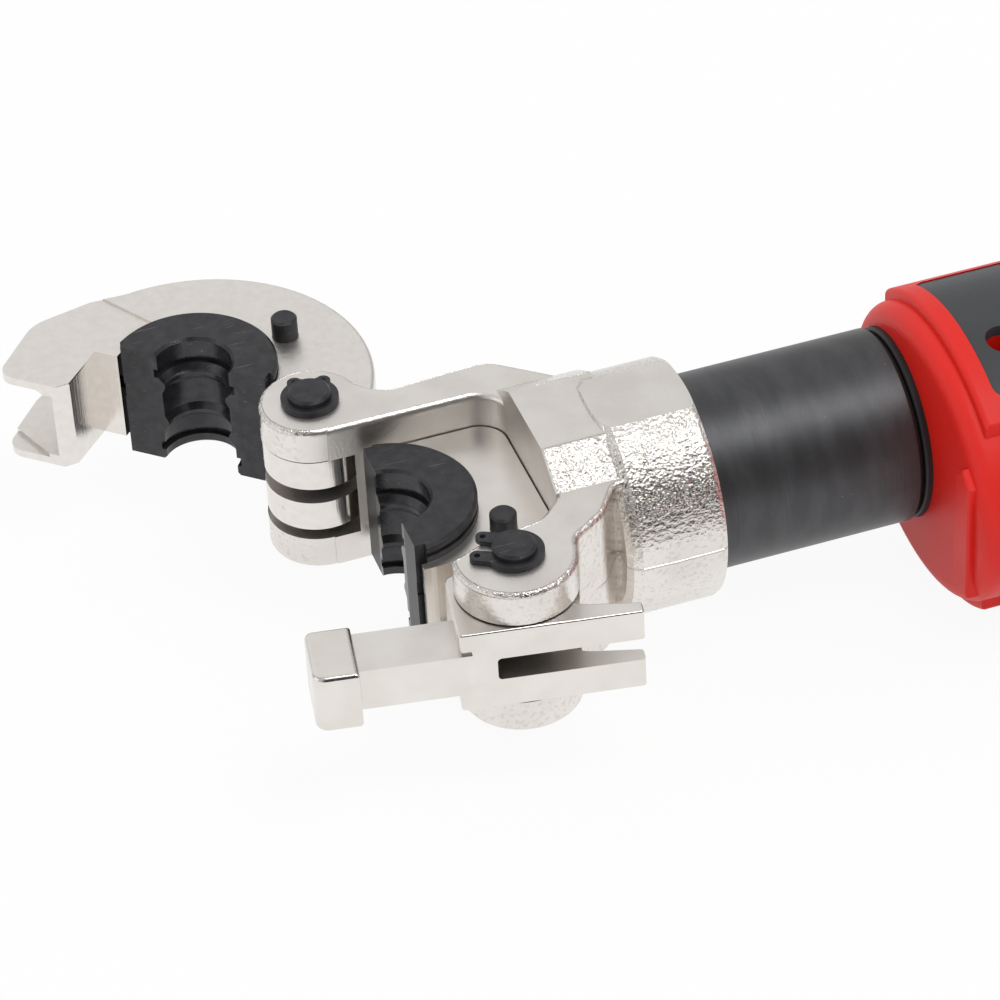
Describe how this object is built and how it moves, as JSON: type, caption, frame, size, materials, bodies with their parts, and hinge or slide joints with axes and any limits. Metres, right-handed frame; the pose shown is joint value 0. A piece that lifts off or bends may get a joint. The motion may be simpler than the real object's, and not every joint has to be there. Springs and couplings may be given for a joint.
{
  "type": "cordless pipe press tool",
  "caption": "Battery-driven hydraulic pipe press tool with a flip-open C-shaped head, latch, paired half-round dies, black neck and a red and grey housing",
  "frame": {"origin": "centre of the moving die's half bore, on its split face, ram back", "axes": "+X along the tool to its rear, +Y away from the handle, +Z along the hinge pins"},
  "size_m": [0.3731, 0.322, 0.071],
  "materials": {
    "plated_steel": "nickel-plated casting, machined faces brushed",
    "black_steel": "black oxide, satin",
    "neck_steel": "black oxide with turning marks",
    "spring_steel": "dark spring wire",
    "bare_steel": "ground",
    "gear_steel": "machined",
    "bronze": "machined",
    "red_shell": "moulded, fine grain",
    "grey_panel": "moulded, satin",
    "black_plastic": "moulded",
    "black_rubber": "soft",
    "board_green": "coated board",
    "lens_clear": "clear",
    "cell_metal": "sleeved cells"
  },
  "bodies": {
    "housing": {"upper_shell": "red_shell", "lower_shell": "red_shell", "upper_panel": "grey_panel", "lower_panel": "grey_panel", "housing_screws": "black_steel", "grip_pad": "black_rubber", "swivel_ring": "black_plastic", "pump_block": "bare_steel", "pump_plunger": "gear_steel", "plunger_spring": "spring_steel", "relief_valve": "gear_steel", "return_valve": "gear_steel", "release_spring": "spring_steel", "oil_bladder": "black_rubber", "gear_case": "gear_steel", "motor_can": "bare_steel", "motor_end_bell": "black_plastic", "trigger_spring": "spring_steel", "trigger_switch": "black_plastic", "control_board": "board_green", "contact_block": "black_plastic", "lamp_lens": "lens_clear"},
    "head": {"yoke": "plated_steel", "neck_cylinder": "neck_steel", "rod_bush": "bronze", "jaw_hinge_pin": "black_steel", "latch_pin": "black_steel", "pin_circlips": "black_steel", "jaw_hinge_spring": "spring_steel", "latch_spring": "spring_steel", "return_spring": "spring_steel"},
    "jaw": {"swing_jaw": "plated_steel", "fixed_die": "black_steel", "jaw_lock_spring": "spring_steel"},
    "jaw_button": {"jaw_lock_button": "black_steel"},
    "jaw_plunger": {"jaw_lock_plunger": "bare_steel"},
    "latch": {"latch": "plated_steel"},
    "ram": {"ram_holder": "plated_steel", "moving_die": "black_steel", "piston_rod": "bare_steel", "piston_seal": "black_rubber", "ram_lock_spring": "spring_steel"},
    "ram_button": {"ram_lock_button": "black_steel"},
    "ram_plunger": {"ram_lock_plunger": "bare_steel"},
    "release": {"release_button": "black_plastic"},
    "trigger": {"trigger": "black_plastic"},
    "carrier": {"planet_carrier": "gear_steel", "eccentric_shaft": "gear_steel", "eccentric_bearing": "bare_steel"},
    "planet_1": {"planet_gear_1": "gear_steel"},
    "planet_2": {"planet_gear_2": "gear_steel"},
    "planet_3": {"planet_gear_3": "gear_steel"},
    "rotor": {"motor_rotor": "gear_steel", "sun_pinion": "gear_steel", "motor_fan": "black_plastic"},
    "battery": {"battery_case": "black_plastic", "battery_base": "black_plastic", "battery_cells": "cell_metal", "battery_button_spring": "spring_steel"},
    "battery_release": {"battery_button": "red_shell"}
  },
  "joints": [
    {"name": "head_swivel", "type": "hinge", "parent": "housing", "child": "head", "pos_m": [0.1227, 0, 0], "axis": [1, 0, 0], "continuous": true},
    {"name": "jaw_swing", "type": "hinge", "parent": "head", "child": "jaw", "pos_m": [-0.0073, 0.0346, 0], "axis": [0, 0, 1], "range_deg": [0, 131.5]},
    {"name": "jaw_button_press", "type": "slide", "parent": "jaw", "child": "jaw_button", "axis": [0, 0, -1], "range_m": [0, 0.0045], "stiffness_N_per_m": 400, "springref_m": -0.002, "deforming": ["jaw_lock_spring"]},
    {"name": "jaw_plunger_slide", "type": "slide", "parent": "jaw", "child": "jaw_plunger", "axis": [-0.9745, -0.2243, 0], "range_m": [-0.0014, 0]},
    {"name": "latch_swing", "type": "hinge", "parent": "head", "child": "latch", "pos_m": [0.0182, -0.0346, 0], "axis": [0, 0, 1], "range_deg": [0, 20], "stiffness_Nm_per_rad": 0.5, "springref_deg": -11.46},
    {"name": "ram_press", "type": "slide", "parent": "head", "child": "ram", "axis": [-1, 0, 0], "range_m": [0, 0.016], "stiffness_N_per_m": 900, "springref_m": -0.01, "deforming": ["return_spring"]},
    {"name": "ram_button_press", "type": "slide", "parent": "ram", "child": "ram_button", "axis": [0, 0, -1], "range_m": [0, 0.0042], "stiffness_N_per_m": 400, "springref_m": -0.002, "deforming": ["ram_lock_spring"]},
    {"name": "ram_plunger_slide", "type": "slide", "parent": "ram", "child": "ram_plunger", "axis": [-0.8262, 0.5633, 0], "range_m": [-0.0014, 0]},
    {"name": "release_press", "type": "slide", "parent": "housing", "child": "release", "axis": [0, 1, 0], "range_m": [0, 0.004], "stiffness_N_per_m": 600, "springref_m": -0.002, "deforming": ["release_spring"]},
    {"name": "trigger_pull", "type": "slide", "parent": "housing", "child": "trigger", "axis": [1, 0, 0], "range_m": [0, 0.006], "stiffness_N_per_m": 500, "springref_m": -0.003, "deforming": ["trigger_spring"]},
    {"name": "motor_spin", "type": "hinge", "parent": "housing", "child": "rotor", "pos_m": [0.2227, 0, 0], "axis": [1, 0, 0], "continuous": true},
    {"name": "carrier_spin", "type": "hinge", "parent": "housing", "child": "carrier", "pos_m": [0.1847, 0, 0], "axis": [1, 0, 0], "continuous": true},
    {"name": "planet_1_spin", "type": "hinge", "parent": "carrier", "child": "planet_1", "pos_m": [0.1947, 0.0108, 0], "axis": [1, 0, 0], "continuous": true},
    {"name": "planet_2_spin", "type": "hinge", "parent": "carrier", "child": "planet_2", "pos_m": [0.1947, -0.0054, 0.00935], "axis": [1, 0, 0], "continuous": true},
    {"name": "planet_3_spin", "type": "hinge", "parent": "carrier", "child": "planet_3", "pos_m": [0.1947, -0.0054, -0.00935], "axis": [1, 0, 0], "continuous": true},
    {"name": "battery_slide", "type": "slide", "parent": "housing", "child": "battery", "axis": [-1, 0, 0], "range_m": [0, 0.092]},
    {"name": "battery_button_press", "type": "slide", "parent": "battery", "child": "battery_release", "axis": [0, -1, 0], "range_m": [0, 0.004], "stiffness_N_per_m": 400, "springref_m": -0.002, "deforming": ["battery_button_spring"]}
  ],
  "couplings": [
    {"joint": "carrier_spin", "follows": "motor_spin", "ratio": 0.22222},
    {"joint": "jaw_plunger_slide", "follows": "jaw_button_press", "ratio": -0.28},
    {"joint": "ram_plunger_slide", "follows": "ram_button_press", "ratio": -0.28},
    {"joint": "planet_1_spin", "follows": "motor_spin", "ratio": -0.62222},
    {"joint": "planet_2_spin", "follows": "motor_spin", "ratio": -0.62222},
    {"joint": "planet_3_spin", "follows": "motor_spin", "ratio": -0.62222}
  ]
}
